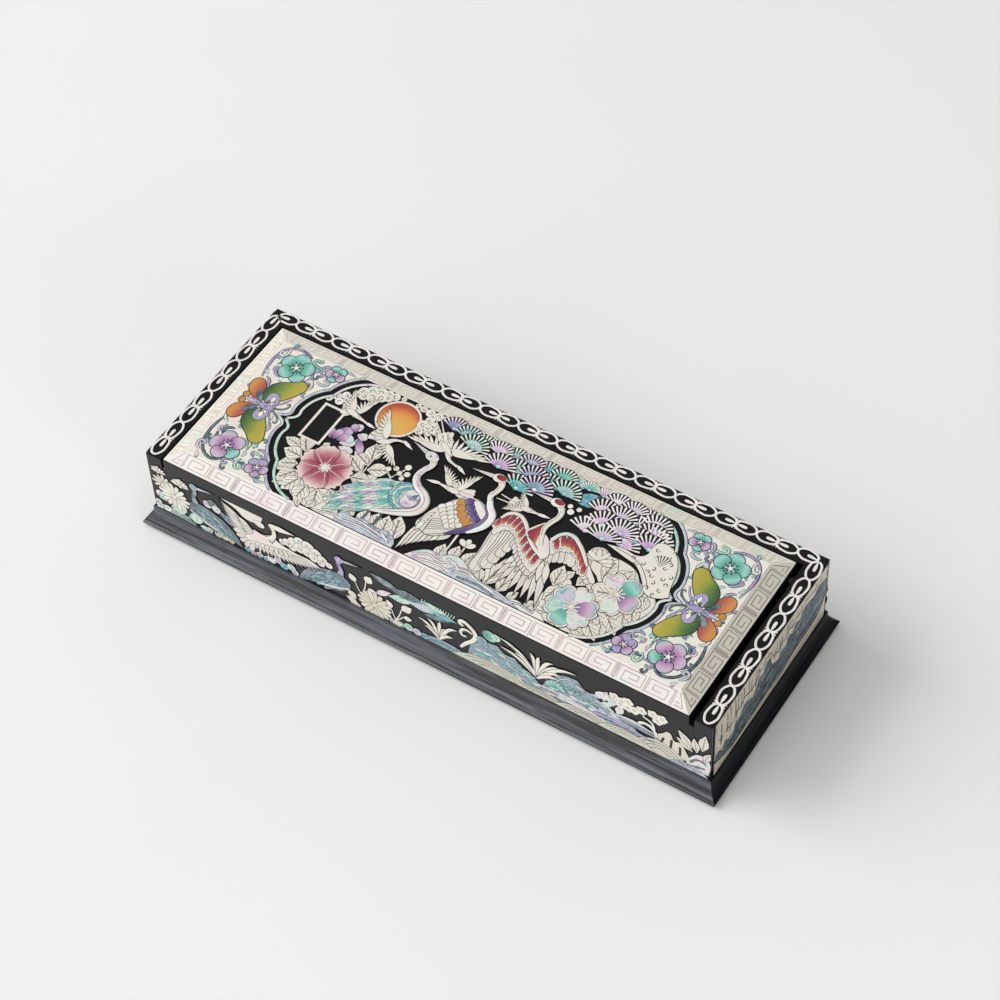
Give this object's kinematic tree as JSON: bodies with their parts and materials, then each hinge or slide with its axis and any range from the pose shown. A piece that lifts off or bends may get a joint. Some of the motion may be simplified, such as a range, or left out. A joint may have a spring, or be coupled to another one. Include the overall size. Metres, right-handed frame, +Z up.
{
  "type": "mother-of-pearl pen case",
  "caption": "Long black lacquered pen case with a bevelled lid inlaid with shell cranes, pine and flowers, chain-inlaid rails, a coved plinth and a velvet-lined inside.",
  "frame": {"origin": "middle of the underside, on the table", "axes": "+X along the case, -Y towards the side that opens, +Z up"},
  "size_m": [0.2488, 0.0936, 0.0452],
  "materials": {
    "lacquer": "black gloss lacquer",
    "plinth_lacquer": "black gloss lacquer",
    "base_wood": "black stain",
    "pin_steel": "blackened",
    "velvet": "velvet pile",
    "felt": "felt",
    "pearl_shell": "polished ivory shell under clear lacquer",
    "abalone_shell": "polished abalone shell under clear lacquer",
    "amber_shell": "tinted shell under clear lacquer",
    "rose_shell": "tinted shell under clear lacquer",
    "red_shell": "tinted shell under clear lacquer",
    "green_shell": "tinted shell under clear lacquer"
  },
  "bodies": {
    "case": {"left_wall": "lacquer", "right_wall": "lacquer", "back_wall": "lacquer", "front_wall": "lacquer", "floor_board": "base_wood", "plinth_left": "plinth_lacquer", "plinth_right": "plinth_lacquer", "plinth_back": "plinth_lacquer", "plinth_front": "plinth_lacquer", "base_felt": "felt", "pivot_pin_left": "pin_steel", "pivot_pin_right": "pin_steel", "pin_plug_left": "lacquer", "pin_plug_right": "lacquer", "floor_velvet": "velvet", "left_velvet": "velvet", "right_velvet": "velvet", "back_velvet": "velvet", "front_velvet": "velvet", "left_chain": "pearl_shell", "right_chain": "pearl_shell", "back_chain": "pearl_shell", "front_ivory": "pearl_shell", "front_abalone": "abalone_shell", "back_ivory": "pearl_shell", "back_abalone": "abalone_shell", "left_ivory": "pearl_shell", "left_abalone": "abalone_shell", "right_ivory": "pearl_shell", "right_abalone": "abalone_shell"},
    "lid": {"lid_board": "lacquer", "lid_velvet": "velvet", "fret_left": "pearl_shell", "fret_right": "pearl_shell", "fret_back": "pearl_shell", "fret_front": "pearl_shell", "field_left": "pearl_shell", "field_right": "pearl_shell", "edge_line_left": "abalone_shell", "edge_line_right": "abalone_shell", "plaque_frame": "pearl_shell", "sun_disc": "amber_shell", "sun_ring": "pearl_shell", "clouds": "pearl_shell", "flying_cranes": "pearl_shell", "peony": "rose_shell", "foliage": "pearl_shell", "crane_left": "abalone_shell", "crane_middle": "pearl_shell", "crane_right": "pearl_shell", "crane_red": "red_shell", "pine_fans": "abalone_shell", "pine_trunk": "pearl_shell", "blossoms": "abalone_shell", "rocks": "abalone_shell", "butterfly_left": "green_shell", "butterfly_right": "green_shell", "spandrel_left": "abalone_shell", "spandrel_right": "abalone_shell"}
  },
  "joints": [
    {"name": "lid_hinge", "type": "hinge", "parent": "case", "child": "lid", "pos_m": [0, 0.0279, 0.0386], "axis": [-1, 0, 0], "range_deg": [0, 100]}
  ]
}
